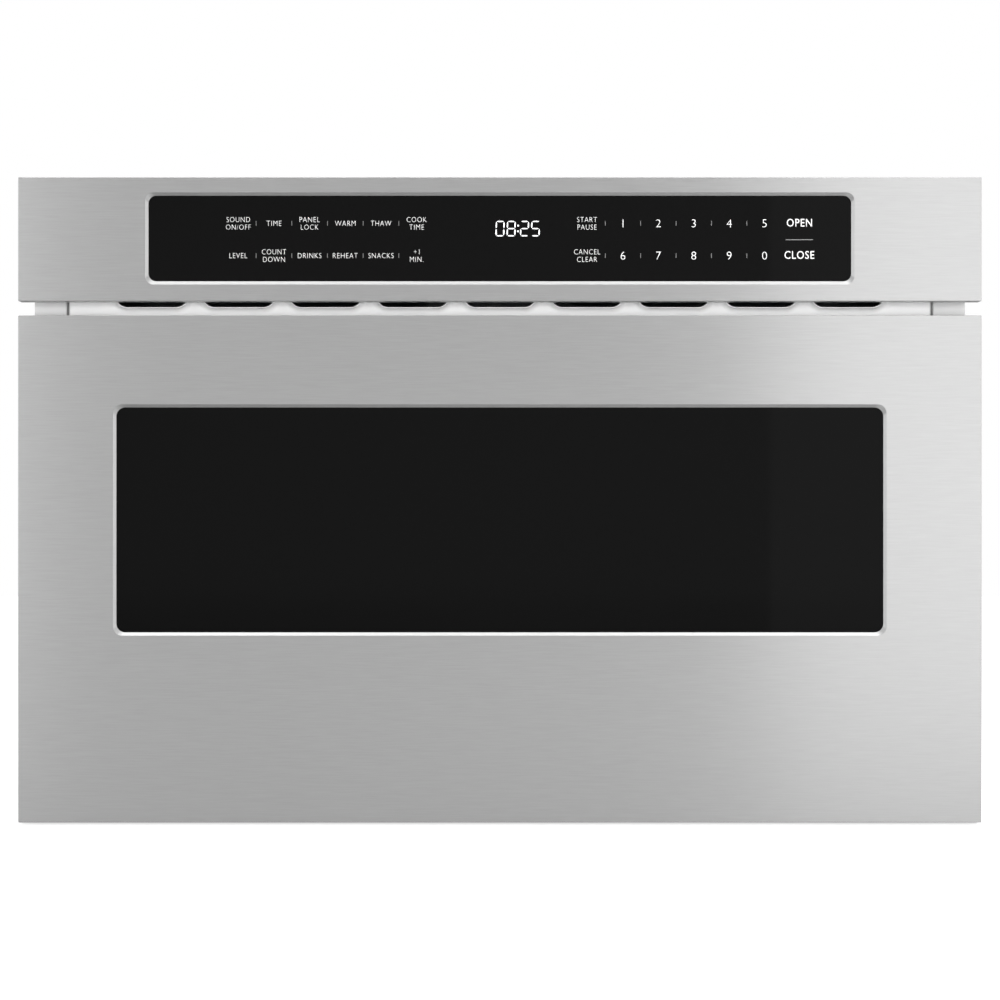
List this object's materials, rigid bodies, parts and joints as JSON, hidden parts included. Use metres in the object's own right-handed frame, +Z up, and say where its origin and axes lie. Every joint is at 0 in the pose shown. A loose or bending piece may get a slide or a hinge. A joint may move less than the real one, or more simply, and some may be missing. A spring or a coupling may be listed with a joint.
{
  "type": "microwave drawer",
  "caption": "Built-in microwave drawer with a folded steel control fascia, a vent gap and a rack-driven drawer with a long dark window.",
  "frame": {"origin": "middle of the overall outline, on the plane that the base pan's skids rest on", "axes": "+Z up; the front faces -Y and the drawer opens towards -Y; +X to the right seen from the front"},
  "size_m": [0.606, 0.575, 0.4076],
  "materials": {
    "brushed_steel": "horizontally brushed",
    "galvanised": "galvanised sheet",
    "painted_frame": "light grey satin paint",
    "cavity_enamel": "satin enamel",
    "black_glass": "black back-printed glass",
    "clear_glass": "clear",
    "ceramic_glass": "smooth",
    "dark_plastic": "moulded",
    "display": "dark display body",
    "board": "solder-masked board",
    "zinc_steel": "zinc plated",
    "motor_steel": "zinc plated",
    "core_steel": "varnished laminations",
    "winding": "varnished copper wire",
    "capacitor_can": "drawn can",
    "white_plastic": "acetal",
    "mica": "low-loss cover",
    "stirrer_sheet": "thin sheet",
    "lamp": "lamp in a folded holder",
    "rubber": "moulded buttons"
  },
  "bodies": {
    "chassis": {"base_pan": "galvanised", "outer_case": "galvanised", "rear_panel": "galvanised", "front_frame": "painted_frame", "mounting_flange_left": "painted_frame", "mounting_flange_right": "painted_frame", "vent_strip": "painted_frame", "oven_cavity": "cavity_enamel", "waveguide": "galvanised", "stirrer_cover": "mica", "stirrer_motor": "motor_steel", "magnetron": "motor_steel", "transformer_core": "core_steel", "transformer_windings": "winding", "high_voltage_capacitor": "capacitor_can", "blower_housing": "dark_plastic", "blower_motor": "motor_steel", "oven_lamp": "lamp", "relay_board": "board", "noise_filter": "board", "power_inlet_gland": "dark_plastic", "interlock_switches": "dark_plastic", "control_fascia": "brushed_steel", "control_glass": "black_glass", "panel_carrier": "dark_plastic", "touch_board": "board", "display_module": "display", "control_chassis": "galvanised", "outer_rail_left": "zinc_steel", "outer_rail_right": "zinc_steel", "rail_bracket_left": "galvanised", "rail_bracket_right": "galvanised", "motor_bracket": "galvanised", "gearbox": "dark_plastic", "drive_motor": "motor_steel", "case_screws": "zinc_steel"},
    "drawer": {"drawer_front": "brushed_steel", "drawer_liner": "painted_frame", "drawer_glass": "black_glass", "glass_frame": "dark_plastic", "choke_frame": "painted_frame", "choke_cover": "dark_plastic", "perforated_screen": "zinc_steel", "inner_window": "clear_glass", "drawer_bumpers": "rubber", "drawer_tub": "cavity_enamel", "ceramic_floor": "ceramic_glass", "side_arm_left": "zinc_steel", "side_arm_right": "zinc_steel", "inner_rail_left": "zinc_steel", "inner_rail_right": "zinc_steel", "drive_rack": "white_plastic", "interlock_key": "white_plastic"},
    "middle_slide_left": {"middle_rail_left": "zinc_steel", "glide_shoes_left": "white_plastic"},
    "middle_slide_right": {"middle_rail_right": "zinc_steel", "glide_shoes_right": "white_plastic"},
    "pinion": {"drive_pinion": "white_plastic"},
    "blower": {"blower_wheel": "white_plastic"},
    "stirrer": {"stirrer_blade": "stirrer_sheet"}
  },
  "joints": [
    {"name": "drawer_slide", "type": "slide", "parent": "chassis", "child": "drawer", "axis": [0, -1, 0], "range_m": [0, 0.38]},
    {"name": "middle_slide_left", "type": "slide", "parent": "chassis", "child": "middle_slide_left", "axis": [0, -1, 0], "range_m": [0, 0.19]},
    {"name": "middle_slide_right", "type": "slide", "parent": "chassis", "child": "middle_slide_right", "axis": [0, -1, 0], "range_m": [0, 0.19]},
    {"name": "pinion_spin", "type": "hinge", "parent": "chassis", "child": "pinion", "pos_m": [0.226, -0.232, 0.032], "axis": [1, 0, 0], "range_deg": [0, 1209.6]},
    {"name": "blower_spin", "type": "hinge", "parent": "chassis", "child": "blower", "pos_m": [0.15, 0.24, 0.232], "axis": [0, 1, 0], "continuous": true},
    {"name": "stirrer_spin", "type": "hinge", "parent": "chassis", "child": "stirrer", "pos_m": [0, -0.0525, 0.295], "axis": [0, 0, 1], "continuous": true}
  ],
  "couplings": [
    {"joint": "middle_slide_left", "follows": "drawer_slide", "ratio": 0.5},
    {"joint": "middle_slide_right", "follows": "drawer_slide", "ratio": 0.5},
    {"joint": "pinion_spin", "follows": "drawer_slide", "rad_per_m": 55.556}
  ]
}
